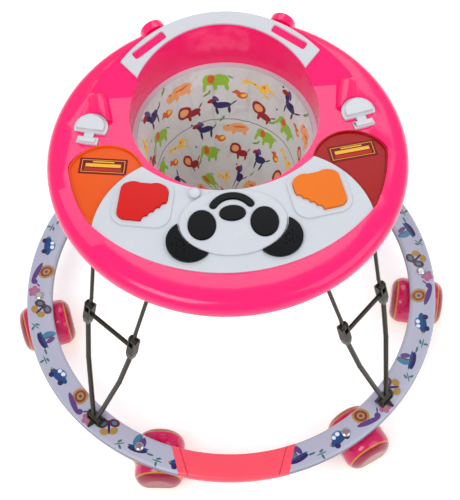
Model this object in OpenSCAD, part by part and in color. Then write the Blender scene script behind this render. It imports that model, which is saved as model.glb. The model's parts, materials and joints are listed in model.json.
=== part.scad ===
// Round baby walker: a ring on six swivel casters, four folding legs and a
// moulded play tray with a fabric bucket seat. Millimetres, +Z up, the child
// faces -Y, and the origin is on the floor under the middle of the ring.

/* [Base ring] */
// Outside diameter of the base ring
ring_d = 600; // [540:10:760]
// Width of the ring band seen from above
ring_w = 37.4; // [32:0.2:48]
// Height of the ring band
ring_h = 13; // [10:0.5:18]
// Wall thickness of the ring tube
ring_wall = 2; // [1.5:0.5:3]
// Thickness of the printed film around the ring
film_t = 0.6; // [0.4:0.1:1]
// Half of the arc that the plain front wrap covers, in degrees
wrap_half = 16.5; // [10:0.5:24]

/* [Casters] */
// Height of the underside of the ring above the floor
caster_h = 70; // [68:1:90]
// Diameter of a caster wheel
wheel_d = 60; // [50:1:60]
// Distance from the swivel stem to the wheel axle
caster_trail = 25; // [22:1:32]
// Overall width of the two wheel covers
cover_w = 76; // [68:1:88]
// Diameter of the swivel stem
stem_d = 8; // [6:0.5:9]
// Diameter of the wheel axle
axle_d = 6; // [4:0.5:7]

/* [Legs] */
// Height of the foot hinge above the top of the ring
foot_rise = 8; // [7:0.5:12]
// Height of the play deck above the top pivots of the legs
pivot_drop = 40; // [38:1:46]
// Distance of the top pivots from the middle of the tray
pivot_r = 190; // [180:1:192]
// Share of the leg below the knee
knee_share = 0.671; // [0.6:0.001:0.72]
// Half of the distance between the two knee joints of a leg
knee_half = 38; // [30:1:42]
// Half of the distance between the two top pivots of a leg
pivot_half = 46; // [44:1:50]
// Diameter of the lower leg rods
lower_rod_d = 6.8; // [5:0.2:8]
// Diameter of the upper leg rods
upper_rod_d = 5; // [4:0.2:6]

/* [Tray] */
// Height of the play deck above the top of the ring
deck_rise = 332; // [300:1:380]
// Overall diameter of the tray
tray_d = 440.6; // [430:0.2:520]
// Diameter of the seat opening
opening_d = 236.6; // [220:0.2:246]
// How far the seat opening sits behind the middle of the tray
opening_back = 59; // [52:1:62]
// Thickness of the tray moulding
tray_wall = 3; // [2.5:0.5:4]
// Height of the crest behind the seat above the deck
crest_rise = 27; // [16:1:34]
// Depth of the recess that holds the play panel
recess_depth = 3.5; // [2:0.5:4]

/* [Seat] */
// Height of the seat hoop
hoop_h = 5; // [3:0.5:8]
// Depth of the fabric seat below the hoop
seat_depth = 150; // [120:5:180]

/* [Buttons] */
// Travel of every push button
button_travel = 2.5; // [1.5:0.5:3]
// How far the push buttons stand above the panel
button_proud = 5; // [4:0.5:8]
// Gap around every push button
button_gap = 0.4; // [0.3:0.1:0.6]

/* [Hidden] */
$fn = 64;
eps = 0.01;
touch = 0.3;          // gap between pieces of different moving bodies
run = 0.05;           // radial clearance of a pin that turns

// colours
hot_pink = [1.0, 0.08, 0.47];
pale_film = [0.82, 0.83, 0.9];
coral = [1.0, 0.35, 0.45];
magenta = [0.78, 0.08, 0.4];
gold = [0.85, 0.62, 0.12];
dark_steel = [0.2, 0.2, 0.18];
plain_steel = [0.7, 0.7, 0.72];
white = [0.93, 0.94, 0.95];
black = [0.04, 0.05, 0.06];

// base ring
ring_r = ring_d / 2;
ring_corner = 5;
ring_top = caster_h + ring_h;
stem_r = ring_r - ring_w / 2;
wrap_mid = -93;
places = ["right", "rear_right", "rear_left", "left", "front_left", "front_right"];
stem_az = [0, 60, 120, 180, 240, 300];
trail_az = [-102, -20, 200, -78, -5, 26];

// casters, in their own frame: stem on the Z axis, wheels towards +X
wheel_z = wheel_d / 2;
cover_gap = 1.6;
cover_r = (caster_h - 2) / 2;
cover_z = caster_h - cover_gap - cover_r;
cover_wall = 2.5;
cover_foot = 25;
web_half = 6;
boss_r = 13;
boss_flat = 12;
boss_low = 43;
wheel_in = 13.5;
wheel_out = cover_w / 2 - cover_wall - 4.5;
wheel_round = 12;
stem_low = boss_low + 2;
rivet_r = 6.5;
swivel_gap = 1.4;

// legs, in their own frame: +X outwards, Y along the ring
legs = ["front_left", "front_right", "rear_right", "rear_left"];
leg_az = [225, 315, 45, 135];
foot_r = stem_r;
foot_z = ring_top + foot_rise;
pivot_z = ring_top + deck_rise - pivot_drop;
lean = atan2(foot_r - pivot_r, pivot_z - foot_z);
leg_len = norm([foot_r - pivot_r, pivot_z - foot_z]);
lower_len = leg_len * knee_share;
knee_r = foot_r - lower_len * sin(lean);
knee_z = foot_z + lower_len * cos(lean);
foot_pin_r = 2.5;
barrel_r = 5;
barrel_half = 9;
ear_t = 2;
knee_pin_r = 2.6;
eye_r = 5.2;
eye_half = 2.6;
fork_half = eye_half + 0.6;
fork_w = 10.4;
fork_r = 5.6;
fork_low = 32;
fork_slot = 9.5;
crossbar_r = 3;
crossbar_drop = 14;
foot_spread = 3;
// the lower rods bow outwards: how far up they bend, and how far apart they are there
bow_at = [0.17, 0.53];
bow_half = [0.3, 0.74];
upper_r = upper_rod_d / 2;
lower_r = lower_rod_d / 2;
pin_in = 10;
lug_t = 3.5;
lug_gap = 2.3;
lug_half = 5;
slot_reach = 3.2;

// tray
tray_r = tray_d / 2;
deck_z = ring_top + deck_rise;
rim_z = deck_z - 12;
skirt_z = deck_z - 42;
crest_z = deck_z + crest_rise;
deck_t = 6;
deck_low = deck_z - deck_t;
opening_r = opening_d / 2;
wall_out = opening_r + tray_wall;
wall_low = deck_z - 49;
recess_z = deck_z - recess_depth;
crest_front = 31 + opening_back;
crest_slope = atan2(crest_rise, opening_back + opening_r + 6 - crest_front);
crest_mid = opening_back - 29;
crest_r = opening_r + 46.7;
crest_foot_r = crest_r + 20;

// hoop and seat
hoop_in = opening_r - 5.8;
hoop_z = wall_low - 2;
seat_r = hoop_in;
seat_wall = 3;

// play panel: side arcs, corners and apexes, mirrored left and right
apex = [103.9, -17.9];
corner = [164.9, -98.4];
panel_front = 172.3;
panel_inner = 59.5;
panel_t = 3;
panel_proud = 1;
panel_top = deck_z + panel_proud;
panel_low = panel_top - panel_t;
fit = 0.3;
pocket_mid = [148.5, -29];
pocket_r = 47.5;
pocket_out = 193.5;
pocket_floor = 1.4;

// face and buttons
face_mid = -105;
face_rx = 63.5;
face_ry = 45.5;
face_t = 2.5;
face_top = panel_top + face_t;
eye_x = 36.6;
eye_y = -108;
eye_rx = 16;
eye_ry = 19.8;
nose_y = -94;
nose_rx = 15;
nose_ry = 10;
mouth_y = -96.2;
mouth_r = 26.2;
mouth_half = 4;
mouth_arc = 57;
grille_x = 52;
grille_y = -128.5;
grille_r = 27.5;
speaker_x = 62;
speaker_y = -131;
toast_x = 104.4;
toast_y = -71;
toast_half = 28.5;
toast_bezel = 6.5;
knob_x = -43;
knob_y = -63;
knob_r = 7;
flange_t = 2;
flange_w = 1.2;

// music box under the panel
box_inset = 3.4;
box_front = 9;
box_wall = 1.6;
box_low = deck_z - 34;
board_z = box_low + 20.4;
board_t = 1.6;
keypad_z = board_z + board_t;
keypad_t = 1.2;
dome_h = button_travel - 0.1;
dome_r = 5;
cell_r = 7;
cell_len = 50;
cell_y = -107;
speaker_r = 13.5;
speaker_h = 9;
board_posts = [[-95, -105], [95, -105], [-60, -85], [60, -85]];

// screws through the skirt beside each leg, as angles from the leg
screw_az = [-7.5, 3.5];
screw_z = skirt_z + 8;

// ---------- shared shapes ----------
// Round rod between two points
module rod(a, b, r) {
    d = b - a;
    translate(a)
        rotate([0, acos(d[2] / norm(d)), atan2(d[1], d[0])])
            cylinder(r = r, h = norm(d));
}

// Pin along Y, centred on the origin
module pin_y(r, length) {
    rotate([90, 0, 0]) cylinder(r = r, h = length, center = true);
}

// Flat oval with round corners, centred on the origin
module flat_oval(w, h, c) {
    square([w - 2 * c, h], center = true);
    square([w, h - 2 * c], center = true);
    for (x = [-1, 1], y = [-1, 1])
        translate([x * (w / 2 - c), y * (h / 2 - c)]) circle(c);
}

module ellipse(rx, ry) {
    polygon([for (a = [0 : 10 : 350]) [rx * cos(a), ry * sin(a)]]);
}

module both_sides() {
    children();
    mirror([1, 0, 0]) children();
}

// ---------- base ring ----------
module ring_section(shrink) {
    translate([stem_r, caster_h + ring_h / 2])
        flat_oval(ring_w - 2 * shrink, ring_h - 2 * shrink, ring_corner - shrink);
}

module stem_holes(r) {
    for (a = stem_az)
        rotate(a) translate([stem_r, 0, caster_h - 1]) cylinder(r = r, h = ring_h + 2);
}

module ring_tube() {
    color(plain_steel)
    difference() {
        rotate_extrude($fn = 180) difference() {
            ring_section(film_t);
            ring_section(film_t + ring_wall);
        }
        stem_holes(stem_d / 2);
    }
}

module film_arc(start, sweep) {
    difference() {
        rotate([0, 0, start]) rotate_extrude(angle = sweep, $fn = 180) difference() {
            ring_section(0);
            ring_section(film_t);
        }
        stem_holes(stem_d / 2);
    }
}

module ring_film() {
    color(pale_film) film_arc(wrap_mid + wrap_half, 360 - 2 * wrap_half);
}

module front_wrap() {
    color(coral) film_arc(wrap_mid - wrap_half, 2 * wrap_half);
}

module caster_stems() {
    color(plain_steel)
    for (a = stem_az) rotate(a) translate([stem_r, 0, 0]) {
        translate([0, 0, stem_low]) cylinder(d = stem_d, h = ring_top - stem_low + eps);
        translate([0, 0, ring_top]) cylinder(r = rivet_r, h = 1.2);
        translate([0, 0, ring_top + 1.2]) cylinder(r1 = rivet_r, r2 = rivet_r - 2.5, h = 1.4);
    }
}

// ---------- casters ----------
module at_caster(i) {
    rotate(stem_az[i]) translate([stem_r, 0, 0]) rotate(trail_az[i] - stem_az[i]) children();
}

module caster_boss(grow) {
    intersection() {
        translate([0, 0, boss_low - grow]) cylinder(r = boss_r + grow, h = caster_h);
        translate([-2 * boss_r, -boss_flat - grow, 0])
            cube([4 * boss_r, 2 * (boss_flat + grow), caster_h - swivel_gap]);
    }
}

module caster_body(i) {
    color(gold) at_caster(i) difference() {
        union() {
            caster_boss(0);
            translate([0, -web_half, wheel_z + 4])
                cube([caster_trail + 6, 2 * web_half, cover_z + cover_r - wheel_z - 10]);
            translate([caster_trail, 0, wheel_z]) pin_y(9, 2 * web_half);
        }
        translate([0, 0, stem_low - 1]) cylinder(d = stem_d + 2 * run, h = caster_h);
        translate([caster_trail, 0, wheel_z]) pin_y(axle_d / 2 + run, 4 * web_half);
    }
}

// Half section of one cover: across is the distance from the middle of the caster
module cover_section(r, side, from) {
    bulge = min(20, r / 2);
    translate([0, from]) square([r - bulge, side - from]);
    translate([0, from]) square([r, side - bulge - from]);
    intersection() {
        translate([r - bulge, side - bulge]) circle(bulge);
        translate([0, from]) square([r, side - from]);
    }
}

module caster_covers(i) {
    in_side = web_half + 0.2;
    color(magenta) at_caster(i) difference() {
        translate([caster_trail, 0, cover_z]) for (s = [-90, 90]) rotate([s, 0, 0])
            rotate_extrude() difference() {
                cover_section(cover_r, cover_w / 2, in_side);
                cover_section(cover_r - cover_wall, cover_w / 2 - cover_wall, in_side + cover_wall);
            }
        translate([-cover_w, -cover_w, -1]) cube([3 * cover_w, 2 * cover_w, cover_foot + 1]);
        caster_boss(touch);
        translate([caster_trail, 0, wheel_z]) pin_y(axle_d / 2 + 1, 2 * in_side + 2 * cover_wall + 2);
    }
}

module wheel_section() {
    r = wheel_d / 2;
    translate([axle_d / 2, wheel_in]) square([r - axle_d / 2, wheel_out - wheel_in - wheel_round]);
    translate([axle_d / 2, wheel_in]) square([r - wheel_round - axle_d / 2, wheel_out - wheel_in]);
    intersection() {
        translate([r - wheel_round, wheel_out - wheel_round]) circle(wheel_round);
        translate([0, wheel_in]) square([r, wheel_out - wheel_in]);
    }
}

module caster_wheels(i) {
    color(gold) at_caster(i) translate([caster_trail, 0, wheel_z]) {
        pin_y(axle_d / 2, 2 * wheel_out + 1);
        for (s = [-90, 90]) rotate([s, 0, 0]) rotate_extrude() wheel_section();
    }
}

// ---------- legs ----------
module at_leg(i) {
    rotate(leg_az[i]) children();
}

// The frame of the rods: Z runs up along the leaning leg
module along_leg(r, z) {
    translate([r, 0, z]) rotate([0, -lean, 0]) children();
}

module foot_brackets() {
    plate_in = 8;
    plate_out = 7;
    tail = ring_w / 2 - 2.4;
    ear_in = barrel_half + 0.2;
    plate_half = ear_in + ear_t;
    color(dark_steel)
    for (i = [0 : 3]) at_leg(i) translate([foot_r, 0, ring_top]) difference() {
        union() {
            translate([-plate_in, -plate_half, 0]) cube([plate_in + plate_out, 2 * plate_half, 2]);
            linear_extrude(2) polygon([[plate_out - 1, -4], [tail, -1.2], [tail, 1.2], [plate_out - 1, 4]]);
            for (s = [-1, 1]) translate([0, s * (ear_in + ear_t / 2), 0]) {
                translate([0, 0, foot_rise]) pin_y(6, ear_t);
                translate([-6, -ear_t / 2, 0]) cube([12, ear_t, foot_rise]);
            }
        }
        translate([0, 0, foot_rise]) pin_y(foot_pin_r, 60);
    }
}

module foot_pins() {
    ear_out = barrel_half + 0.2 + ear_t;
    color(plain_steel)
    for (i = [0 : 3]) at_leg(i) translate([foot_r, 0, foot_z]) {
        pin_y(foot_pin_r, 2 * ear_out);
        for (s = [-1, 1]) translate([0, s * (ear_out + 0.7), 0]) pin_y(foot_pin_r + 1.5, 1.4);
    }
}

module knee_fork(s) {
    along_leg(knee_r, knee_z) translate([0, s * knee_half, 0]) difference() {
        union() {
            pin_y(fork_r, fork_w);
            translate([-fork_r, -fork_w / 2, -fork_low + 9]) cube([2 * fork_r, fork_w, fork_low - 9]);
            hull() {
                translate([-fork_r, -fork_w / 2, -fork_low + 9]) cube([2 * fork_r, fork_w, 1]);
                translate([-lower_r - 0.6, -lower_r - 0.6, -fork_low])
                    cube([2 * lower_r + 1.2, 2 * lower_r + 1.2, 1]);
            }
        }
        translate([-2 * fork_r, -fork_half, -fork_slot])
            cube([4 * fork_r, 2 * fork_half, fork_slot + 2 * fork_r]);
    }
}

// A bend of a lower rod, on side s
function bow_point(k, s) = [foot_r - bow_at[k] * lower_len * sin(lean), s * bow_half[k] * knee_half,
    foot_z + bow_at[k] * lower_len * cos(lean)];

module lower_leg(i) {
    back = fork_low - 4;
    color(dark_steel) at_leg(i) difference() {
        union() {
            translate([foot_r, 0, foot_z]) pin_y(barrel_r, 2 * barrel_half);
            for (s = [-1, 1]) {
                knee_fork(s);
                rod([foot_r, s * foot_spread, foot_z], bow_point(0, s), lower_r);
                rod(bow_point(0, s), bow_point(1, s), lower_r);
                rod(bow_point(1, s), [knee_r + back * sin(lean), s * knee_half, knee_z - back * cos(lean)],
                    lower_r);
                for (k = [0, 1]) translate(bow_point(k, s)) sphere(lower_r + 0.2);
                translate([knee_r, s * knee_half, knee_z]) pin_y(knee_pin_r, fork_w + 1);
                for (e = [-1, 1]) translate([knee_r, s * knee_half + e * (fork_w / 2 + 0.8), knee_z])
                    pin_y(knee_pin_r + 1.3, 1.6);
            }
            along_leg(knee_r, knee_z) translate([0, 0, -crossbar_drop])
                pin_y(crossbar_r, 2 * (knee_half - fork_w / 2) + 1);
        }
        translate([foot_r, 0, foot_z]) pin_y(foot_pin_r + run, 60);
    }
}

module upper_leg(i) {
    rise = 14;
    bend_r = knee_r - rise * sin(lean);
    bend_z = knee_z + rise * cos(lean);
    color(dark_steel) at_leg(i) for (s = [-1, 1]) difference() {
        union() {
            translate([knee_r, s * knee_half, knee_z]) pin_y(eye_r, 2 * eye_half);
            rod([knee_r, s * knee_half, knee_z], [bend_r, s * knee_half, bend_z], upper_r);
            translate([bend_r, s * knee_half, bend_z]) sphere(upper_r + 0.2);
            rod([bend_r, s * knee_half, bend_z], [pivot_r, s * pivot_half, pivot_z], upper_r);
            translate([pivot_r, s * pivot_half, pivot_z]) sphere(upper_r + 0.2);
            translate([pivot_r, s * (pivot_half - pin_in / 2), pivot_z]) pin_y(upper_r, pin_in);
        }
        translate([knee_r, s * knee_half, knee_z]) pin_y(knee_pin_r + run, 20);
    }
}

// Lugs under the tray: round holes on the leg that carries the tray, slots on the others
module leg_lugs() {
    hole = upper_r + run;
    slack = upper_r + 0.6;
    half = slot_reach + slack + 2;
    mid = pivot_half - upper_r - lug_gap - lug_t / 2;
    color(dark_steel) intersection() {
        for (i = [0 : 3], s = [-1, 1]) at_leg(i) translate([pivot_r, s * mid, pivot_z]) difference() {
            union() {
                translate([-half, -lug_t / 2, -lug_half])
                    cube([2 * half, lug_t, deck_low - pivot_z + lug_half]);
                translate([-half, s > 0 ? lug_t / 2 - 12 : -lug_t / 2, deck_low - pivot_z - 2])
                    cube([2 * half, 12, 2]);
            }
            if (i == 0) pin_y(hole, 20);
            if (i > 0) {
                translate([-slot_reach, -10, -slack]) cube([2 * slot_reach, 20, 2 * slack]);
                for (e = [-1, 1]) translate([e * slot_reach, 0, 0]) pin_y(slack, 20);
            }
        }
        cylinder(r = tray_r - 15 - tray_wall - 0.5, h = deck_z, $fn = 128);
    }
}

// ---------- tray ----------
// The rim's round from the outside to the lip, t inside its surface
function rim_round(t, from, step, to) = [for (a = [from : step : to])
    [tray_r - 16 + (16 - t) * cos(a), rim_z + (16 - t) * sin(a)]];

function rim_outside() = concat(
    [[tray_r - 15, skirt_z]], rim_round(0, -38, 16, 74),
    [[tray_r - 30, deck_z + 2.6], [tray_r - 46, deck_z]]);

module rim_profile() {
    polygon(concat(rim_outside(), [[0, deck_z], [0, deck_low], [tray_r - 4.5, deck_low]],
        rim_round(tray_wall, 10, -16, -38), [[tray_r - 15 - tray_wall, skirt_z]]));
}

module opening_cut(r) {
    translate([0, opening_back, wall_low - 10]) cylinder(r = r, h = 200, $fn = 128);
}

// Solid crest whose top falls towards the front
module crest_block(drop) {
    intersection() {
        translate([0, crest_mid, 0]) rotate_extrude($fn = 128) polygon([
            [0, deck_low - drop], [crest_foot_r - drop, deck_low - drop],
            [crest_r - drop, crest_z - drop], [0, crest_z - drop]]);
        translate([0, crest_front + drop, deck_z - drop]) rotate([crest_slope, 0, 0])
            translate([-300, 0, -150]) cube([600, 300, 150]);
        translate([-300, crest_front, deck_low - drop]) cube([600, 300, 200]);
    }
}

module tray_shell() {
    color(hot_pink) difference() {
        union() {
            rotate_extrude($fn = 120) rim_profile();
            difference() {
                crest_block(0);
                translate([0, 0, -0.1]) crest_block(tray_wall);
            }
            translate([0, opening_back, wall_low]) intersection() {
                cylinder(r = wall_out, h = 200, $fn = 128);
                translate([0, -opening_back, -wall_low]) wall_top();
            }
            both_sides() translate([154, 72, deck_z - 7]) rotate([0, 0, -8]) rotate([90, 0, 0])
                cylinder(r = 15, h = 42, center = true);
        }
        opening_cut(opening_r);
        panel_recess();
        box_cut();
        screw_holes();
        both_sides() side_cup_seat();
        underside();
    }
}

// Everything below the top of the crest or the deck, where the opening's wall may stand
module wall_top() {
    translate([-300, -300, 0]) cube([600, 600, deck_z]);
    crest_block(0);
}

// Room under the humps, so that they stay inside the deck's thickness
module underside() {
    both_sides() translate([125, 30, deck_low - 20]) cube([70, 80, 20]);
}

// Arcs of the play panel, through its apexes, corners and middle points
outer_mid = (corner[0] * corner[0] + corner[1] * corner[1] - panel_front * panel_front)
    / (2 * (panel_front + corner[1]));
outer_r = panel_front + outer_mid;
inner_mid = (apex[0] * apex[0] + apex[1] * apex[1] - panel_inner * panel_inner)
    / (2 * (panel_inner + apex[1]));
inner_r = panel_inner + inner_mid;
chord = corner - apex;
side_sag = 12;
side_r = (pow(norm(chord) / 2, 2) + side_sag * side_sag) / (2 * side_sag);
side_n = [-chord[1], chord[0]] / norm(chord);
side_mid = (apex + corner) / 2 - side_n * (side_r - side_sag);

module panel_outline(inset, front = 0) {
    both_sides() difference() {
        intersection() {
            translate([0, outer_mid]) circle(outer_r - inset - front, $fn = 128);
            translate(side_mid) circle(side_r - inset, $fn = 96);
            translate([-1, -300]) square([300, 600]);
        }
        translate([0, inner_mid]) circle(inner_r + inset, $fn = 128);
    }
}

module pocket_outline(inset) {
    difference() {
        intersection() {
            circle(pocket_out - inset, $fn = 128);
            union() {
                translate(pocket_mid) circle(pocket_r - inset);
                polygon([apex, [pocket_mid[0] + pocket_r - inset, pocket_mid[1]],
                    [200, -60], corner + [-inset, inset * 3]]);
            }
        }
        panel_solid_outline(inset);
        translate([0, opening_back]) circle(wall_out + 1 + inset, $fn = 128);
    }
}

// The panel with its side arcs moved outwards, to cut the pockets
module panel_solid_outline(grow) {
    translate(side_mid) circle(side_r + grow, $fn = 128);
    polygon([[0, 0], apex, corner, [corner[0], -250], [0, -250]]);
}

module panel_recess() {
    translate([0, 0, panel_low]) linear_extrude(20) panel_outline(-fit);
    translate([0, 0, recess_z]) linear_extrude(20) both_sides() pocket_outline(0);
}

module box_cut() {
    translate([0, 0, deck_low - 10]) linear_extrude(40) panel_outline(box_inset - fit, box_front);
}

module seat_hoop() {
    color(white) translate([0, opening_back, hoop_z]) difference() {
        cylinder(r = opening_r, h = hoop_h, $fn = 128);
        translate([0, 0, -1]) cylinder(r = hoop_in, h = hoop_h + 2, $fn = 128);
    }
}

// Fabric bucket: a bowl with two leg holes towards the front
module seat_fabric() {
    depth = seat_depth;
    bowl = [[seat_r, 0], [seat_r - 4, -depth * 0.4], [seat_r - 22, -depth * 0.75],
        [seat_r - 52, -depth * 0.95], [0, -depth]];
    skin = [[0, -depth + seat_wall], [seat_r - 52 - 1, -depth * 0.95 + seat_wall],
        [seat_r - 22 - seat_wall, -depth * 0.75 + 1], [seat_r - 4 - seat_wall, -depth * 0.4],
        [seat_r - seat_wall, 0]];
    color([0.9, 0.88, 0.87]) translate([0, opening_back, hoop_z + hoop_h]) difference() {
        rotate_extrude($fn = 96) polygon(concat(bowl, skin));
        for (a = [-62, -118]) rotate([0, 0, a]) translate([seat_r - 34, 0, -depth * 0.8])
            rotate([0, 62, 0]) cylinder(r = 38, h = 90, center = true);
    }
}

module band_outline() {
    difference() {
        translate([0, crest_mid]) circle(crest_r - 0.5, $fn = 128);
        translate([0, opening_back]) circle(opening_r + 1.2, $fn = 128);
        for (s = [-1, 1]) rotate(s * 43) translate([s > 0 ? -400 : 0, -100]) square([400, 500]);
        translate([-300, -500]) square([600, 560]);
    }
}

module back_band() {
    t = 3;
    color(white) difference() {
        translate([0, crest_front, deck_z]) rotate([crest_slope, 0, 0])
            translate([-300, 0, 0]) cube([600, 300, t]);
        difference() {
            translate([-400, -400, deck_z - 50]) cube([800, 800, 200]);
            translate([0, 0, deck_z - 60]) linear_extrude(220) band_outline();
        }
        both_sides() translate([89, 155, 0]) rotate([0, 0, -35])
            linear_extrude(900) flat_oval(49, 11, 3);
    }
}

module rear_ears() {
    ear_half = 16.5;
    ear_thick = 12;
    ear_low = crest_z - 34;
    ear_top = crest_z - 4;
    color(hot_pink) for (s = [-1, 1]) rotate(s * 23.7) translate([0, tray_r - 8, 0])
        difference() {
            union() {
                translate([-ear_half, -ear_thick, ear_low])
                    cube([2 * ear_half, ear_thick, ear_top - ear_half - ear_low]);
                translate([0, -ear_thick / 2, ear_top - ear_half]) pin_y(ear_half, ear_thick);
            }
            rotate(-s * 23.7) translate([0, -(tray_r - 8) * cos(23.7) , 0])
                translate([s * (tray_r - 8) * sin(23.7), 0, 0]) ear_seat();
        }
}

// What the ears sit on: the crest and the rim
module ear_seat() {
    crest_block(0);
    rotate_extrude($fn = 180) polygon(concat(rim_outside(), [[0, deck_z], [0, skirt_z]]));
}

module cup_outline(grow) {
    intersection() {
        circle(21 + grow);
        translate([-40, -8 - grow]) square([80, 40]);
    }
    translate([-6 - grow, -20]) square([12 + 2 * grow, 24]);
    translate([-13 - grow, -25 - grow]) square([26 + 2 * grow, 10 + grow]);
}

module side_cup_place() {
    translate([165, 45, 0]) rotate([0, 0, 13]) children();
}

module side_cup_seat() {
    side_cup_place() translate([0, 0, deck_z - 2]) linear_extrude(30) cup_outline(fit);
}

module side_cups() {
    color(white) both_sides() side_cup_place() translate([0, 0, deck_z - 2]) {
        linear_extrude(5) cup_outline(0);
        translate([0, -2, 5]) linear_extrude(5) intersection() {
            circle(17);
            translate([-40, -4]) square([80, 40]);
        }
        translate([-10, -24, 5]) cube([20, 6, 3]);
    }
}

module pocket_plate() {
    translate([0, 0, recess_z]) linear_extrude(pocket_floor) pocket_outline(fit);
    translate([0, 0, recess_z + pocket_floor]) linear_extrude(recess_depth - pocket_floor + 0.8)
        difference() {
            pocket_outline(fit);
            pocket_outline(fit + 2);
        }
}

module orange_pocket() {
    color([0.9, 0.36, 0.02]) mirror([1, 0, 0]) pocket_plate();
}

module red_pocket() {
    color([0.63, 0.0, 0.03]) pocket_plate();
}

module pocket_labels() {
    color([0.75, 0.3, 0.05]) both_sides()
        translate([151, -12, recess_z + pocket_floor]) rotate([0, 0, 8]) translate([-29, -11.5, 0])
            cube([58, 23, 0.4]);
}

// ---------- play panel ----------
module at_toast(s) {
    translate([s * toast_x, toast_y, 0]) rotate([0, 0, s * 10]) children();
}

// Bread slice with a bite out of its lower inner corner
module toast_outline(grow) {
    from = [-toast_half, 0];
    along = [0.714, -0.7];
    out = [-0.7, -0.714];
    difference() {
        union() {
            flat_oval(2 * toast_half + 2 * grow, 2 * toast_half - 5 + 2 * grow, 11 + grow);
            for (s = [-1, 1]) translate([s * (toast_half - 15), toast_half - 16]) circle(15 + grow);
        }
        for (k = [-1 : 3]) translate(from + along * (4.6 + 9.2 * k) + out * 3) circle(6.2 - grow);
        polygon([from - along * 20 + out * (3.6 + grow), from + along * 56 + out * (3.6 + grow),
            from + along * 56 + out * 40, from - along * 20 + out * 40]);
    }
}

module right_toast(grow) {
    at_toast(1) toast_outline(grow);
}

module left_toast(grow) {
    mirror([1, 0, 0]) right_toast(grow);
}

// Points of an arc, and the mouth as a bent bar with round ends
function arc_pts(mid, r, from, to, n) = [for (k = [0 : n])
    let (a = from + (to - from) * k / n) mid + r * [cos(a), sin(a)]];

module mouth_outline(grow) {
    mid = [0, mouth_y];
    half = mouth_half + grow;
    right = 90 - mouth_arc;
    left = 90 + mouth_arc;
    polygon(concat(
        arc_pts(mid, mouth_r + half, right, left, 24),
        arc_pts(mid + mouth_r * [cos(left), sin(left)], half, left + 20, left + 160, 7),
        arc_pts(mid, mouth_r - half, left, right, 24),
        arc_pts(mid + mouth_r * [cos(right), sin(right)], half, right + 200, right + 340, 7)));
}

module eye_outline(s, grow) {
    translate([s * eye_x, eye_y]) ellipse(eye_rx + grow, eye_ry + grow);
}

module nose_outline(grow) {
    translate([0, nose_y]) ellipse(nose_rx + grow, nose_ry + grow);
}

module button_holes(grow) {
    left_toast(grow);
    right_toast(grow);
    eye_outline(-1, grow);
    eye_outline(1, grow);
    nose_outline(grow);
    mouth_outline(grow);
}

module ear_outline(s, grow) {
    difference() {
        translate([s * grille_x, grille_y]) circle(grille_r + grow);
        translate([0, face_mid]) ellipse(face_rx + 1.5 - grow, face_ry + 1.5 - grow);
    }
}

// Sound holes of the two speakers
module pinholes() {
    for (s = [-1, 1], ring = [1, 2], k = [0 : 5])
        translate([s * (speaker_x + 1), speaker_y - 1]) rotate(60 * k + 30 * ring)
            translate([4.5 * ring, 0]) circle(0.9);
}

module toy_panel() {
    color(white) difference() {
        union() {
            translate([0, 0, panel_low]) linear_extrude(panel_t) panel_outline(0);
            translate([0, 0, panel_top]) linear_extrude(2)
                for (s = [-1, 1]) at_toast(s) flat_oval(2 * (toast_half + toast_bezel),
                    2 * (toast_half + toast_bezel) - 4, 18);
        }
        translate([0, 0, panel_low - 1]) linear_extrude(30) {
            button_holes(button_gap);
            translate([knob_x, knob_y]) circle(2.5 + run);
            pinholes();
        }
    }
}

module face_disc() {
    color(white) translate([0, 0, panel_top]) linear_extrude(face_t) difference() {
        translate([0, face_mid]) ellipse(face_rx, face_ry);
        button_holes(button_gap);
    }
}

module ear_grilles() {
    color(black) for (s = [-1, 1]) translate([0, 0, panel_top]) difference() {
        linear_extrude(4) ear_outline(s, 0);
        translate([0, 0, -1]) linear_extrude(20) pinholes();
    }
}

// A push button: hollow cap, flange under the panel and a stem down to the keypad.
// children(0) is the cap's outline, children(1) the flange's and children(2) the hollow's.
module push_button(at) {
    cap_low = panel_low - 0.2 - flange_t;
    cap_top = panel_top + button_proud;
    dome_top = keypad_z + keypad_t + dome_h;
    difference() {
        union() {
            translate([0, 0, cap_low]) linear_extrude(cap_top - cap_low) children(0);
            translate([0, 0, cap_low]) linear_extrude(flange_t) children(1);
        }
        if ($children > 2)
            translate([0, 0, cap_low - 1]) linear_extrude(cap_top - cap_low - 1) children(2);
    }
    translate([at[0], at[1], dome_top]) cylinder(r = 3, h = cap_top - 1 - dome_top);
}

module right_toast_button() {
    color([0.87, 0.45, 0]) push_button([toast_x, toast_y]) {
        right_toast(0);
        right_toast(flange_w);
        right_toast(-2);
    }
}

module left_toast_button() {
    color([0.8, 0.02, 0.02]) push_button([-toast_x, toast_y]) {
        left_toast(0);
        left_toast(flange_w);
        left_toast(-2);
    }
}

module eye_button(s) {
    color(black) push_button([s * eye_x, eye_y]) {
        eye_outline(s, 0);
        eye_outline(s, flange_w);
        eye_outline(s, -2);
    }
}

module nose_button() {
    color(black) push_button([0, nose_y]) {
        nose_outline(0);
        nose_outline(flange_w / 2);
    }
}

module mouth_button() {
    color(black) push_button([0, mouth_y + mouth_r]) {
        mouth_outline(0);
        mouth_outline(flange_w / 2);
    }
}

module volume_knob() {
    color(white) translate([knob_x, knob_y, 0]) {
        translate([0, 0, panel_top + 0.2]) cylinder(r = knob_r, h = 5);
        translate([0, 0, panel_top + 5.2]) cylinder(r1 = knob_r, r2 = knob_r - 2, h = 1.5);
        translate([0, 0, keypad_z + keypad_t + 0.5])
            cylinder(r = 2.5, h = panel_top - keypad_z - keypad_t);
    }
}

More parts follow.
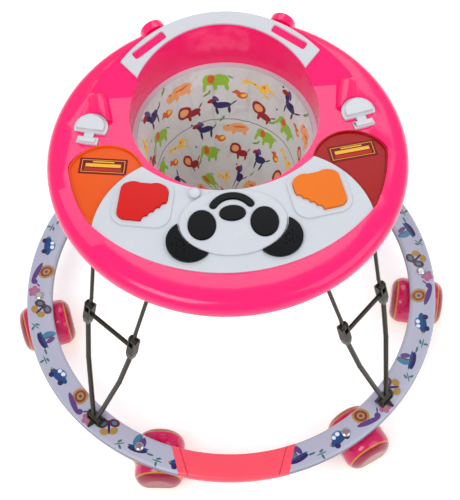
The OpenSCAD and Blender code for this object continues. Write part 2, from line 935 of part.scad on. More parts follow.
// ---------- music box ----------
module panel_base() {
    wall_h = panel_low - box_low;
    color(white) difference() {
        union() {
            translate([0, 0, box_low]) linear_extrude(box_wall) panel_outline(box_inset, box_front);
            translate([0, 0, box_low]) linear_extrude(wall_h) difference() {
                panel_outline(box_inset, box_front);
                panel_outline(box_inset + box_wall, box_front);
            }
            for (p = board_posts) translate([p[0], p[1], box_low])
                cylinder(r = 3, h = board_z - box_low);
        }
        translate([-30, cell_y - 28, box_low - 1]) cube([60, 56, box_wall + 2]);
    }
}

module battery_door() {
    color(white) translate([-29.7, cell_y - 27.7, box_low]) cube([59.4, 55.4, box_wall]);
}

module battery_cells() {
    color(plain_steel) for (k = [-1 : 1])
        translate([k * (2 * cell_r + 2), cell_y, box_low + box_wall + cell_r]) {
            pin_y(cell_r, cell_len - 2);
            translate([0, cell_len / 2 - 1, 0]) pin_y(2.5, 2);
        }
}

module circuit_board() {
    color([0.1, 0.4, 0.2]) translate([0, 0, board_z]) linear_extrude(board_t) difference() {
        panel_outline(box_inset + box_wall + 1, box_front);
        for (s = [-1, 1]) translate([s * speaker_x, speaker_y]) circle(speaker_r + 1.5);
    }
}

// One moulded rubber mat with a dome under every push button
module rubber_keypad() {
    spots = [[-toast_x, toast_y], [toast_x, toast_y], [-eye_x, eye_y], [eye_x, eye_y],
        [0, nose_y], [0, mouth_y + mouth_r]];
    color([0.75, 0.75, 0.78]) {
        translate([0, 0, keypad_z]) linear_extrude(keypad_t) difference() {
            intersection() {
                panel_outline(box_inset + box_wall + 1, box_front);
                union() {
                    translate([-toast_x, toast_y - 6]) square([2 * toast_x, 12]);
                    translate([-eye_x - 8, eye_y - 8]) square([2 * eye_x + 16, 48]);
                    for (p = spots) translate(p) circle(dome_r + 3);
                }
            }
            for (s = [-1, 1]) translate([s * speaker_x, speaker_y]) circle(speaker_r + 1.5);
            translate([knob_x, knob_y]) circle(4);
        }
        for (p = spots) translate([p[0], p[1], keypad_z + keypad_t - eps])
            cylinder(r1 = dome_r, r2 = 3.5, h = dome_h + eps);
    }
}

module speakers() {
    color(black) for (s = [-1, 1]) translate([s * speaker_x, speaker_y, 0]) {
        translate([0, 0, panel_low - 2]) cylinder(r = speaker_r, h = 2);
        translate([0, 0, panel_low - speaker_h]) cylinder(r = speaker_r * 0.6, h = speaker_h - 1);
    }
}

// Dark screws in the lower edge of the skirt, two beside each leg
module skirt_screws() {
    color(dark_steel) for (i = [0 : 3], a = screw_az)
        rotate(leg_az[i] + (i == 1 || i == 3 ? -a : a)) translate([tray_r - 13, 0, screw_z])
            rotate([0, 90, 0]) {
                translate([0, 0, -6]) cylinder(r = 1.5, h = 9);
                translate([0, 0, 1]) cylinder(r = 3.2, h = 4);
            }
}

module screw_holes() {
    for (i = [0 : 3], a = screw_az)
        rotate(leg_az[i] + (i == 1 || i == 3 ? -a : a)) translate([tray_r - 13, 0, screw_z])
            rotate([0, 90, 0]) {
                translate([0, 0, -20]) cylinder(r = 1.5, h = 40);
                translate([0, 0, 1]) cylinder(r = 3.2, h = 30);
            }
}

ring_tube();
ring_film();
front_wrap();
caster_stems();
foot_brackets();
foot_pins();
for (i = [0 : 5]) {
    caster_body(i);
    caster_covers(i);
    caster_wheels(i);
}
for (i = [0 : 3]) {
    lower_leg(i);
    upper_leg(i);
}
tray_shell();
leg_lugs();
seat_hoop();
seat_fabric();
back_band();
rear_ears();
side_cups();
orange_pocket();
red_pocket();
pocket_labels();
toy_panel();
face_disc();
ear_grilles();
panel_base();
battery_door();
battery_cells();
circuit_board();
rubber_keypad();
speakers();
skirt_screws();
left_toast_button();
right_toast_button();
eye_button(-1);  // left_eye_button
eye_button(1);  // right_eye_button
nose_button();
mouth_button();
volume_knob();
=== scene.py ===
"""A round baby walker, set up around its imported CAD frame. Metres, +Z up, the child faces -Y."""
import json
import math

import bmesh
import bpy
from mathutils import Matrix, Vector


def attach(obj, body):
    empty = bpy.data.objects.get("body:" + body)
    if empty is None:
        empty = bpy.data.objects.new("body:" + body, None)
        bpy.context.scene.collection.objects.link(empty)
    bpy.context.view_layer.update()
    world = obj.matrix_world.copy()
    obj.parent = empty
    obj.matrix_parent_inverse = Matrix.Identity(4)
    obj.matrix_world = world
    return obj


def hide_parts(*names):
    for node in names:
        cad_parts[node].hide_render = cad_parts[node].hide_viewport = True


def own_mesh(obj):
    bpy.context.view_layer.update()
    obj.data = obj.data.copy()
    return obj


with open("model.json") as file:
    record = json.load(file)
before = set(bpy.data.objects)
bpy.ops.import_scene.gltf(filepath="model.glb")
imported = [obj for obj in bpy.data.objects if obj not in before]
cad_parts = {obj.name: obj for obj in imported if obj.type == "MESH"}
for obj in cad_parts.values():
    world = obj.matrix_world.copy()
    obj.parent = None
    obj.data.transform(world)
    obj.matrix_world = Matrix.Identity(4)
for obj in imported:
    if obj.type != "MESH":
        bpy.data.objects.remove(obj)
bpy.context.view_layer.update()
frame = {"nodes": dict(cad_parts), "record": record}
nodes = frame["nodes"]

# ---------- The studio ----------
# A pale floor under three soft lights, and a camera that looks down into the seat
# from just left of the front. None of it is part of the walker.
studio = bpy.data.collections.new("studio")
bpy.context.scene.collection.children.link(studio)

lens_mm, sensor_mm = 79.2, 36
look_down, look_aside, lean_over = 59.02, -2.5, -1.5
eye_point = Vector((-0.0345, -0.7904, 1.4964))
camera_data = bpy.data.cameras.new("walker_view")
camera_data.lens = lens_mm
camera_data.sensor_width = sensor_mm
camera = bpy.data.objects.new("walker_view", camera_data)
camera.matrix_world = (
    Matrix.Translation(eye_point)
    @ Matrix.Rotation(math.radians(look_aside), 4, "Z")
    @ Matrix.Rotation(math.radians(90 - look_down), 4, "X")
    @ Matrix.Rotation(math.radians(lean_over), 4, "Z")
)
studio.objects.link(camera)
bpy.context.scene.camera = camera


def soft_light(name, place, aim, watts, width):
    """A square softbox that faces a point."""
    data = bpy.data.lights.new(name, "AREA")
    data.energy = watts
    data.size = width
    light = bpy.data.objects.new(name, data)
    turn = (Vector(aim) - Vector(place)).to_track_quat("-Z", "Y").to_matrix().to_4x4()
    light.matrix_world = Matrix.Translation(place) @ turn
    studio.objects.link(light)


soft_light("key_softbox", (-0.9, -1.1, 2.0), (0, 0, 0.35), 18, 1.1)
soft_light("fill_softbox", (1.3, -0.7, 1.4), (0, 0, 0.3), 8, 1.3)
soft_light("back_softbox", (0.2, 1.5, 1.9), (0, 0, 0.35), 9, 1.2)
world = bpy.data.worlds.new("bright_room")
world.use_nodes = True
world.node_tree.nodes["Background"].inputs["Color"].default_value = (1, 1, 1, 1)
world.node_tree.nodes["Background"].inputs["Strength"].default_value = 0.62
bpy.context.scene.world = world
bpy.context.scene.view_settings.view_transform = "Standard"


def put(name, mesh_maker, material):
    """A finished bmesh as an object at the origin, with its place in its mesh."""
    mesh = bpy.data.meshes.new(name)
    mesh_maker.to_mesh(mesh)
    mesh_maker.free()
    mesh.materials.append(material)
    thing = bpy.data.objects.new(name, mesh)
    bpy.context.scene.collection.objects.link(thing)
    return thing


def srgb(red, green, blue):
    """A colour given in 0-255 steps, as the shaders want it."""
    return tuple(((c / 255) / 12.92 if c < 10 else ((c / 255 + 0.055) / 1.055) ** 2.4)
                 for c in (red, green, blue)) + (1,)


floor_paint = bpy.data.materials.new("floor_paint")
floor_paint.use_nodes = True
floor_shader = floor_paint.node_tree.nodes["Principled BSDF"]
floor_shader.inputs["Base Color"].default_value = (0.96, 0.96, 0.96, 1)
floor_shader.inputs["Roughness"].default_value = 0.9
floor_shader.inputs["Emission Color"].default_value = (1, 1, 1, 1)
floor_shader.inputs["Emission Strength"].default_value = 0.3
floor_mesh = bmesh.new()
bmesh.ops.create_grid(floor_mesh, x_segments=1, y_segments=1, size=6)
floor = put("floor", floor_mesh, floor_paint)


# ---------- Base ring: tube ----------
# The walker stands on one blow-moulded ring of flat oval tube. The printed film and the
# front wrap are shrunk around it, so hardly any of it shows.
def moulded(name, colour, rough=0.35, mottle=0.06, grain=0.012, grain_scale=900, coat=0.0,
             shine=0.35):
    """Moulded plastic: a slightly mottled colour, uneven gloss and the mould's fine grain."""
    material = bpy.data.materials.new(name)
    material.use_nodes = True
    tree = material.node_tree
    shader = tree.nodes["Principled BSDF"]
    place = tree.nodes.new("ShaderNodeTexCoord")
    cloud = tree.nodes.new("ShaderNodeTexNoise")
    cloud.inputs["Scale"].default_value = 28
    cloud.inputs["Detail"].default_value = 3
    tree.links.new(place.outputs["Object"], cloud.inputs["Vector"])
    tones = tree.nodes.new("ShaderNodeMix")
    tones.data_type = "RGBA"
    tones.inputs["A"].default_value = tuple(c * (1 - mottle) for c in colour[:3]) + (1,)
    tones.inputs["B"].default_value = tuple(min(1, c * (1 + mottle)) for c in colour[:3]) + (1,)
    tree.links.new(cloud.outputs["Fac"], tones.inputs["Factor"])
    tree.links.new(tones.outputs["Result"], shader.inputs["Base Color"])
    gloss = tree.nodes.new("ShaderNodeMapRange")
    gloss.inputs["To Min"].default_value = rough * 0.8
    gloss.inputs["To Max"].default_value = min(1, rough * 1.25)
    tree.links.new(cloud.outputs["Fac"], gloss.inputs["Value"])
    tree.links.new(gloss.outputs["Result"], shader.inputs["Roughness"])
    pores = tree.nodes.new("ShaderNodeTexNoise")
    pores.inputs["Scale"].default_value = grain_scale
    pores.inputs["Detail"].default_value = 2
    tree.links.new(place.outputs["Object"], pores.inputs["Vector"])
    bump = tree.nodes.new("ShaderNodeBump")
    bump.inputs["Strength"].default_value = grain
    bump.inputs["Distance"].default_value = 0.001
    tree.links.new(pores.outputs["Fac"], bump.inputs["Height"])
    tree.links.new(bump.outputs["Normal"], shader.inputs["Normal"])
    shader.inputs["Coat Weight"].default_value = coat
    shader.inputs["Specular IOR Level"].default_value = shine
    shader.inputs["Coat Roughness"].default_value = 0.08
    return material


sharp_corner = math.radians(32)
flat_enough = math.radians(0.8)


def finish_node(name, material, round_by=0.0, steps=2):
    """Gives a carried-over node its material, and rounds the corners that a mould leaves."""
    node = nodes[name]
    node.data.materials.clear()
    node.data.materials.append(material)
    if round_by:
        weld = node.modifiers.new("weld", "WELD")
        weld.merge_threshold = 0.00001
        flats = node.modifiers.new("flats", "DECIMATE")
        flats.decimate_type = "DISSOLVE"
        flats.angle_limit = flat_enough
        rounding = node.modifiers.new("rounding", "BEVEL")
        rounding.width = round_by
        rounding.segments = steps
        rounding.limit_method = "ANGLE"
        rounding.angle_limit = sharp_corner
        rounding.harden_normals = True


finish_node("ring_tube", moulded("pale_ring_plastic", srgb(205, 207, 218)))


# ---------- Base ring: printed film ----------
# A pale lilac film with small nursery figures, shrunk round the tube in one piece and
# cut off slantwise where the plain front wrap begins. The caster stems come through it.
film_radius = 0.2813
film_half_width = 0.0187
film_low, film_high = 0.07, 0.083
film_corner = 0.0052
shaded_edge = 0.0179
wrap_middle = -93.0
wrap_half = 16.5
slant = 2.2


def print_surface(material):
    """A moulded material's nodes, its shader, its plain colour and each point's place."""
    tree = material.node_tree
    shader = tree.nodes["Principled BSDF"]
    place = next(node for node in tree.nodes if node.bl_idname == "ShaderNodeTexCoord")
    return tree, shader, shader.inputs["Base Color"].links[0].from_socket, place.outputs["Object"]


def split(tree, vector):
    """The X and the Y of a vector."""
    apart = tree.nodes.new("ShaderNodeSeparateXYZ")
    tree.links.new(vector, apart.inputs["Vector"])
    return apart.outputs["X"], apart.outputs["Y"]


def ink_over(tree, colour, share, ink):
    """Lays an ink over a colour, as strongly at each point as the share says."""
    layer = tree.nodes.new("ShaderNodeMix")
    layer.data_type = "RGBA"
    layer.inputs["B"].default_value = ink
    tree.links.new(share, layer.inputs["Factor"])
    tree.links.new(colour, layer.inputs["A"])
    return layer.outputs["Result"]


def print_figures(material, across, along, ground, figures, size=1.0):
    """Prints flat figures on a ground colour. Each figure is (x, y, turn, dabs), each dab of
    ink an oval (x, y, half width, half height, turn, colour), in millimetres and degrees. The
    size makes all the figures larger or smaller in their places."""
    tree = material.node_tree
    flat = tree.nodes.new("ShaderNodeCombineXYZ")
    tree.links.new(across, flat.inputs["X"])
    tree.links.new(along, flat.inputs["Y"])
    colour = ground
    for x, y, turn, dabs in figures:
        spot = tree.nodes.new("ShaderNodeMapping")
        spot.vector_type = "TEXTURE"
        spot.inputs["Location"].default_value = (x / 1000, y / 1000, 0)
        spot.inputs["Rotation"].default_value = (0, 0, math.radians(turn))
        spot.inputs["Scale"].default_value = (0.001 * size, 0.001 * size, 1)
        tree.links.new(flat.outputs["Vector"], spot.inputs["Vector"])
        for dab_x, dab_y, half_width, half_height, dab_turn, ink in dabs:
            oval = tree.nodes.new("ShaderNodeMapping")
            oval.vector_type = "TEXTURE"
            oval.inputs["Location"].default_value = (dab_x, dab_y, 0)
            oval.inputs["Rotation"].default_value = (0, 0, math.radians(dab_turn))
            oval.inputs["Scale"].default_value = (half_width, half_height, 1)
            tree.links.new(spot.outputs["Vector"], oval.inputs["Vector"])
            reach = tree.nodes.new("ShaderNodeVectorMath")
            reach.operation = "LENGTH"
            tree.links.new(oval.outputs["Vector"], reach.inputs[0])
            inside = tree.nodes.new("ShaderNodeMapRange")
            inside.inputs["From Min"].default_value = 1.0
            inside.inputs["From Max"].default_value = 0.93
            tree.links.new(reach.outputs["Value"], inside.inputs["Value"])
            colour = ink_over(tree, colour, inside.outputs["Result"], ink)
    return colour


def number(tree, operation, first, second=None, third=None):
    """One step of arithmetic on a pattern's coordinates."""
    step = tree.nodes.new("ShaderNodeMath")
    step.operation = operation
    for slot, value in enumerate((first, second, third)):
        if value is None:
            continue
        if isinstance(value, (int, float)):
            step.inputs[slot].default_value = value
        else:
            tree.links.new(value, step.inputs[slot])
    return step.outputs["Value"]


blue_ink, navy_ink, sky_ink = srgb(26, 72, 128), srgb(44, 36, 92), srgb(64, 124, 160)
brown_ink, gold_ink, rose_ink = srgb(92, 52, 50), srgb(168, 136, 72), srgb(170, 102, 150)
violet_ink, teal_ink, red_ink = srgb(92, 62, 128), srgb(62, 112, 112), srgb(136, 54, 58)
window_ink = srgb(225, 230, 245)
sail_boat = [
    (0, -6, 11, 3.4, 0, navy_ink), (0, -3.6, 12, 1.6, 0, blue_ink), (3, 4, 4.4, 7.5, 12, sky_ink),
    (-4, 3, 3, 5.6, -14, violet_ink), (0, 1, 0.7, 9, 0, brown_ink), (-14, -8, 4, 1.2, 8, teal_ink)]
butterfly = [
    (-6, 4, 6.4, 4.8, 28, brown_ink), (6, 4, 6.4, 4.8, -28, brown_ink), (-5, -5, 5, 4, -25, gold_ink),
    (5, -5, 5, 4, 25, gold_ink), (-6, 4, 3, 2.2, 28, sky_ink), (6, 4, 3, 2.2, -28, sky_ink),
    (0, 0, 1.4, 8.5, 0, navy_ink)]
toy_car = [
    (0, 3, 7.5, 5, 0, sky_ink), (0, -1, 13, 4.6, 0, blue_ink), (-2, 4, 2.6, 2.4, 0, window_ink),
    (3.6, 4, 2.2, 2.4, 0, window_ink), (-7, -5, 3.2, 3.2, 0, navy_ink),
    (7, -5, 3.2, 3.2, 0, navy_ink), (12, 0, 1.4, 1.2, 0, gold_ink)]
snail = [
    (2, 2, 10, 9, 20, gold_ink), (2, 2, 7.4, 6.4, 20, red_ink), (2, 2, 4.6, 4, 20, gold_ink),
    (2, 2, 2, 1.8, 0, violet_ink), (-4, -7, 14, 3, -8, violet_ink), (-15, -3, 3.4, 3.6, 0, violet_ink),
    (-17, 3, 0.8, 3.2, 20, navy_ink)]
petal_reach, petal_turns = 4.2, [math.radians(72 * k) for k in range(5)]
flower = [(petal_reach * math.cos(turn), petal_reach * math.sin(turn), 3, 3, 0, rose_ink)
          for turn in petal_turns] + [(0, 0, 2, 2, 0, gold_ink)]
sprig = [
    (0, 0, 0.7, 6, 30, teal_ink), (3, 2, 2.8, 1.3, 20, teal_ink), (-2, -2, 2.8, 1.3, 100, teal_ink)]

film = moulded("ring_film_print", srgb(178, 182, 203), rough=0.2, mottle=0.03, grain=0.01)
film_tree, film_shader, film_ground, film_place = print_surface(film)
film_x, film_y = split(film_tree, film_place)
round_ring = number(film_tree, "MULTIPLY", number(film_tree, "ARCTAN2", film_y, film_x), film_radius)
figure_sets = 8
repeat = 2 * math.pi * film_radius / figure_sets
across_film = number(film_tree, "WRAP", round_ring, repeat / 2, -repeat / 2)
x_squared = number(film_tree, "MULTIPLY", film_x, film_x)
radius_out = number(film_tree, "SQRT", number(film_tree, "MULTIPLY_ADD", film_y, film_y, x_squared))
along_film = number(film_tree, "SUBTRACT", radius_out, film_radius)
film_colour = print_figures(film, across_film, along_film, film_ground, [
    (-86, 1, 165, toy_car), (-40, -3, 205, snail), (-8, 8, 185, flower), (22, -2, 140, butterfly),
    (48, 9, 20, sprig), (72, -3, 170, sail_boat), (104, 9, 60, sprig)], 1.3)
# Painted shade: past the shaded edge, the film's sides are coloured grey where they turn away from the
# light.
painted_side_shade = number(film_tree, "GREATER_THAN", number(film_tree, "ABSOLUTE", along_film), shaded_edge)
film_colour = ink_over(film_tree, film_colour, painted_side_shade, srgb(128, 128, 142))
film_tree.links.new(film_colour, film_shader.inputs["Base Color"])


def film_sleeve(name, thickness_out, material, keep_front):
    """A sleeve of film on the ring's rounded section, cut slantwise at both ends."""
    sleeve = bmesh.new()
    reach = film_half_width + thickness_out
    inner, outer = film_radius - reach, film_radius + reach
    low, high = film_low, film_high + thickness_out
    bmesh.ops.create_grid(sleeve, x_segments=1, y_segments=1, size=0.5)
    for corner in sleeve.verts:
        corner.co = (inner if corner.co.x < 0 else outer, 0, low if corner.co.y < 0 else high)
    bmesh.ops.bevel(sleeve, geom=sleeve.verts[:], offset=film_corner, segments=5, profile=0.5,
                    affect="VERTICES", material=-1)
    bmesh.ops.delete(sleeve, geom=sleeve.faces[:], context="FACES_ONLY")
    bmesh.ops.spin(sleeve, geom=sleeve.verts[:] + sleeve.edges[:], cent=(0, 0, 0), axis=(0, 0, 1),
                   angle=2 * math.pi, steps=240, use_merge=True)
    bmesh.ops.remove_doubles(sleeve, verts=sleeve.verts[:], dist=0.00001)
    ends = [(math.radians(wrap_middle + side * (wrap_half + slant)),
             math.radians(wrap_middle + side * (wrap_half - slant))) for side in (-1, 1)]
    for inner_end, outer_end in ends:
        at_inner = Vector((inner * math.cos(inner_end), inner * math.sin(inner_end), 0))
        at_outer = Vector((outer * math.cos(outer_end), outer * math.sin(outer_end), 0))
        sleeve_cut = (at_outer - at_inner).cross(Vector((0, 0, 1)))
        bmesh.ops.bisect_plane(sleeve, geom=sleeve.verts[:] + sleeve.edges[:] + sleeve.faces[:],
                               dist=0.000001, plane_co=at_inner, plane_no=sleeve_cut)
    gone = []
    for face in sleeve.faces:
        middle = face.calc_center_median()
        bearing_now = math.degrees(math.atan2(middle.y, middle.x)) - wrap_middle
        bearing_now = (bearing_now + 180) % 360 - 180
        share = (math.hypot(middle.x, middle.y) - inner) / (outer - inner)
        reach_now = wrap_half + slant - 2 * slant * share
        if (abs(bearing_now) < reach_now) != keep_front:
            gone.append(face)
    bmesh.ops.delete(sleeve, geom=gone, context="FACES")
    bmesh.ops.recalc_face_normals(sleeve, faces=sleeve.faces[:])
    for face in sleeve.faces:
        face.smooth = True
    return put(name, sleeve, material)


printed_film = film_sleeve("printed_film", 0.0, film, False)
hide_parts("ring_film")
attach(printed_film, "base")


# ---------- Base ring: front wrap ----------
# A plain coral wrap closes the gap in the printed film at the front. It is a heavier
# film, folded over itself at each end, which leaves two slanting creases.
coral = moulded("coral_film", srgb(255, 86, 106), rough=0.25, mottle=0.05)
wrap_thicker = 0.0004
front_wrap = film_sleeve("coral_wrap", wrap_thicker, coral, True)
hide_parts("front_wrap")
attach(front_wrap, "base")

# Painted shade: each crease is a thin raised strip coloured a darker coral to stand for the shadow in the
# fold.
crease_shade_paint = moulded("crease_shadow", srgb(190, 40, 62), rough=0.4)
crease_inset = 2.6
crease_reach = 0.0186
crease_width, crease_height = 0.0007, 0.0005


def moved_verts(result):
    """The new corners that a bmesh operator made."""
    return [item for item in result["geom"] if isinstance(item, bmesh.types.BMVert)]


for side, crease_name in ((-1, "wrap_crease_left"), (1, "wrap_crease_right")):
    crease = bmesh.new()
    for inward in (1, -1):
        radius = film_radius - inward * crease_reach
        turn = math.radians(wrap_middle + side * (wrap_half + inward * slant - crease_inset))
        crease.verts.new((radius * math.cos(turn), radius * math.sin(turn), film_high + wrap_thicker))
    crease.verts.ensure_lookup_table()
    line = crease.edges.new(crease.verts[:2])
    direction = (crease.verts[1].co - crease.verts[0].co).normalized()
    sideways = direction.cross(Vector((0, 0, 1))) * crease_width
    swept = bmesh.ops.extrude_edge_only(crease, edges=[line])
    bmesh.ops.translate(crease, vec=sideways, verts=moved_verts(swept))
    raised = bmesh.ops.extrude_face_region(crease, geom=crease.faces[:])
    bmesh.ops.translate(crease, vec=(0, 0, crease_height), verts=moved_verts(raised))
    bmesh.ops.recalc_face_normals(crease, faces=crease.faces[:])
    fold = put(crease_name, crease, crease_shade_paint)
    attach(fold, "base")


# ---------- Swivel stems ----------
# Six plated steel stems, riveted through the ring from below. The domed heads show on
# top of the film, and the casters turn on the lower ends.
steel = moulded("plated_steel", srgb(190, 190, 196), rough=0.25)
steel.node_tree.nodes["Principled BSDF"].inputs["Metallic"].default_value = 1.0
finish_node("caster_stems", steel, 0.0006)


# ---------- Casters ----------
# Each caster is a gold moulded housing that turns on its stem, two gold wheels on one
# axle, and two magenta dust covers, each with a thin gold line and a darker outer cap.
gold = moulded("gold_plastic", srgb(214, 158, 26), rough=0.28, mottle=0.08)
cover_rings = ((0.0290, srgb(190, 140, 30)), (0.0308, srgb(150, 8, 50)))
axles = {joint["name"]: joint for joint in frame["record"]["behaviour"]["joints"]}
for corner_name in ("right", "rear_right", "rear_left", "left", "front_left", "front_right"):
    magenta = moulded("magenta_plastic_" + corner_name, srgb(206, 8, 88), rough=0.14, coat=0.4)
    tree, shader, colour, place = print_surface(magenta)
    roll = axles[corner_name + "_roll"]
    axle, middle = Vector(roll["axis"]), Vector(roll["pos_m"])
    along_axle = tree.nodes.new("ShaderNodeVectorMath")
    along_axle.operation = "DOT_PRODUCT"
    along_axle.inputs[1].default_value = axle
    tree.links.new(place, along_axle.inputs[0])
    off_centre = number(tree, "SUBTRACT", along_axle.outputs["Value"], middle.dot(axle))
    outward = number(tree, "ABSOLUTE", off_centre)
    for edge, tint in cover_rings:
        colour = ink_over(tree, colour, number(tree, "GREATER_THAN", outward, edge), tint)
    tree.links.new(colour, shader.inputs["Base Color"])
    finish_node(corner_name + "_caster_body", gold, 0.0008)
    finish_node(corner_name + "_caster_wheels", gold)
    finish_node(corner_name + "_caster_covers", magenta, 0.0007)


# ---------- Folding legs ----------
# Blackened steel: a pressed bracket and pin at each foot, a riveted lower frame with a
# crossbar, and two upper rods that hinge in its forks.
dark_steel = moulded("blackened_steel", srgb(58, 57, 50), rough=0.3, mottle=0.12, grain=0.03)
dark_steel.node_tree.nodes["Principled BSDF"].inputs["Metallic"].default_value = 0.72
finish_node("foot_brackets", dark_steel, 0.0005)
finish_node("foot_pins", dark_steel)
for leg in ("front_left", "front_right", "rear_right", "rear_left"):
    finish_node(leg + "_lower_leg", dark_steel)
    finish_node(leg + "_upper_leg", dark_steel)


# ---------- Tray ----------
# One glossy injection-moulded shell: a rolled rim with a raised lip, a flat play deck,
# the seat wall and a crest that climbs behind the child. Steel lugs hang under its deck.
hot_pink = moulded("hot_pink_plastic", srgb(255, 10, 108), rough=0.2, mottle=0.04, coat=0.25)
finish_node("tray_shell", hot_pink, 0.0016, 3)
finish_node("rear_ears", hot_pink, 0.002, 3)
finish_node("leg_lugs", dark_steel)
finish_node("skirt_screws", dark_steel)


# ---------- Crest band and side cups ----------
# White inserts: a slotted band glued on the slope of the crest, and two goblet-shaped
# inserts pressed into the deck beside the seat.
white = moulded("white_plastic", srgb(204, 207, 214), rough=0.28, mottle=0.03)
finish_node("back_band", white, 0.0008)
finish_node("side_cups", white, 0.0012, 3)


# ---------- Pockets and labels ----------
# Two coloured plates clipped into the deck left and right of the play panel, with a small
# raised edge. Each carries a plain printed sticker with a border and two bars.
finish_node("orange_pocket", moulded("orange_plastic", srgb(226, 82, 0), rough=0.2, shine=0.2), 0.0006)
finish_node("red_pocket", moulded("red_plastic", srgb(160, 0, 4), rough=0.2, shine=0.2), 0.0006)
label_paper = moulded("label_paper", srgb(206, 104, 34), rough=0.4, shine=0.2)
label_x, label_y, label_turn = 0.151, -0.012, math.radians(8)
maroon_print, yellow_print, red_print = srgb(112, 12, 20), srgb(232, 176, 60), srgb(180, 40, 24)
label_prints = [
    (0.0290, 0.0116, 0, maroon_print), (0.0262, 0.0090, 0, yellow_print), (0.0255, 0.0083, 0, maroon_print),
    (0.0215, 0.0024, 0.0012, yellow_print), (0.0130, 0.0009, 0.0062, yellow_print),
    (0.0225, 0.0022, -0.0048, red_print)]
tree, shader, colour, place = print_surface(label_paper)
side_x, side_y = split(tree, place)
from_end = number(tree, "SUBTRACT", number(tree, "ABSOLUTE", side_x), label_x)
from_foot = number(tree, "SUBTRACT", side_y, label_y)
label_along = number(tree, "MULTIPLY_ADD", from_foot, math.sin(label_turn),
                     number(tree, "MULTIPLY", from_end, math.cos(label_turn)))
label_up = number(tree, "MULTIPLY_ADD", from_end, -math.sin(label_turn),
                  number(tree, "MULTIPLY", from_foot, math.cos(label_turn)))
for half_wide, half_high, rise, tint in label_prints:
    inside_x = number(tree, "LESS_THAN", number(tree, "ABSOLUTE", label_along), half_wide)
    off_y = number(tree, "ABSOLUTE", number(tree, "SUBTRACT", label_up, rise))
    inside_y = number(tree, "LESS_THAN", off_y, half_high)
    colour = ink_over(tree, colour, number(tree, "MULTIPLY", inside_x, inside_y), tint)
tree.links.new(colour, shader.inputs["Base Color"])
finish_node("pocket_labels", label_paper)


# ---------- Play panel ----------
# A pale moulded plate with raised surrounds for the buttons and an oval animal face.
# Under it sits the music box, a tub with the board, keypad, cells and speakers.
panel_white = moulded("panel_plastic", srgb(198, 203, 211), rough=0.25, mottle=0.03)
finish_node("toy_panel", panel_white, 0.0007)
finish_node("face_disc", panel_white, 0.0012, 3)
finish_node("volume_knob", white, 0.001)
black = moulded("black_plastic", srgb(8, 10, 14), rough=0.2, shine=0.12)
for part in ("ear_grilles", "left_eye_button", "right_eye_button", "nose_button", "mouth_button"):
    finish_node(part, black, 0.0014, 3)
red_button = moulded("red_button", srgb(206, 2, 3), rough=0.2, shine=0.18)
orange_button = moulded("orange_button", srgb(228, 112, 0), rough=0.2, shine=0.18)
finish_node("left_toast_button", red_button, 0.0015, 3)
finish_node("right_toast_button", orange_button, 0.0015, 3)
for part in ("panel_base", "battery_door"):
    finish_node(part, white)
finish_node("speakers", black)
finish_node("battery_cells", steel)
finish_node("circuit_board", moulded("board_green", srgb(20, 90, 50)))
finish_node("rubber_keypad", moulded("keypad_rubber", srgb(180, 180, 185), rough=0.7))


# ---------- Seat ----------
# A white hoop clipped inside the seat wall carries a bucket of printed cotton. The cloth
# has a sewn line all round at two thirds of its depth, and two leg holes at the front.
finish_node("seat_hoop", white)
rim_radius, rim_height = 0.1118, 0.3675
seat_middle = 0.059
bucket_profile = [(0.1118, 0.0), (0.1112, 0.012), (0.1085, 0.045), (0.1035, 0.078), (0.0955, 0.105),
                  (0.083, 0.126), (0.066, 0.139), (0.046, 0.1445), (0.024, 0.1465), (0.004, 0.147)]
steps_down = 46
steps_round = 168
leg_hole_radius, leg_hole_out, leg_hole_drop = 0.037, 0.078, 0.118
leg_hole_turns, leg_hole_tilt, leg_hole_depth = (-62, -118), math.radians(62), 0.05
seam_drop, seam_half = 0.094, 0.0008
pinned_drop, eased_drop, eased_grip = 0.004, 0.010, 0.25
cut_radius, bottom_share = 0.105, 0.75


def bucket_at(share):
    """Radius and drop of the bucket at a share of the way along its profile."""
    spot = share * (len(bucket_profile) - 1)
    first = min(int(spot), len(bucket_profile) - 2)
    rest = spot - first
    (r0, d0), (r1, d1) = bucket_profile[first], bucket_profile[first + 1]
    return r0 + (r1 - r0) * rest, d0 + (d1 - d0) * rest


cloth = bmesh.new()
cut = cloth.loops.layers.uv.new("cut")
pins = cloth.verts.layers.deform.verify()
bmesh.ops.create_circle(cloth, segments=steps_round, radius=rim_radius, cap_ends=False)
bmesh.ops.translate(cloth, vec=(0, seat_middle, rim_height), verts=cloth.verts[:])
edge_ring = cloth.edges[:]
for step in range(1, steps_down + 1):
    radius, drop = bucket_at(step / steps_down)
    grown = bmesh.ops.extrude_edge_only(cloth, edges=edge_ring)
    ring_verts = set(moved_verts(grown))
    edge_ring = [e for e in grown["geom"] if isinstance(e, bmesh.types.BMEdge)
                 and e.verts[0] in ring_verts and e.verts[1] in ring_verts]
    for vert in ring_verts:
        out = Vector((vert.co.x, vert.co.y - seat_middle)).normalized() * radius
        vert.co = (out.x, out.y + seat_middle, rim_height - drop)
bmesh.ops.contextual_create(cloth, geom=edge_ring)
holes = []
for turn in leg_hole_turns:
    out = Vector((math.cos(math.radians(turn)), math.sin(math.radians(turn)), 0))
    middle = out * leg_hole_out + Vector((0, seat_middle, rim_height - leg_hole_drop))
    way = out * math.sin(leg_hole_tilt) + Vector((0, 0, math.cos(leg_hole_tilt)))
    for vert in cloth.verts:
        offset = vert.co - middle
        off_axis = (offset - way * offset.dot(way)).length
        if offset.dot(way) > -leg_hole_depth and off_axis < leg_hole_radius:
            holes.append(vert)
bmesh.ops.delete(cloth, geom=list(set(holes)), context="VERTS")
length_down = {}
for vert in cloth.verts:
    flat_radius = math.hypot(vert.co.x, vert.co.y - seat_middle)
    drop = rim_height - vert.co.z
    length_down[vert] = drop + max(0, rim_radius - flat_radius) * bottom_share
    vert[pins][0] = 1.0 if drop < pinned_drop else (eased_grip if drop < eased_drop else 0.0)
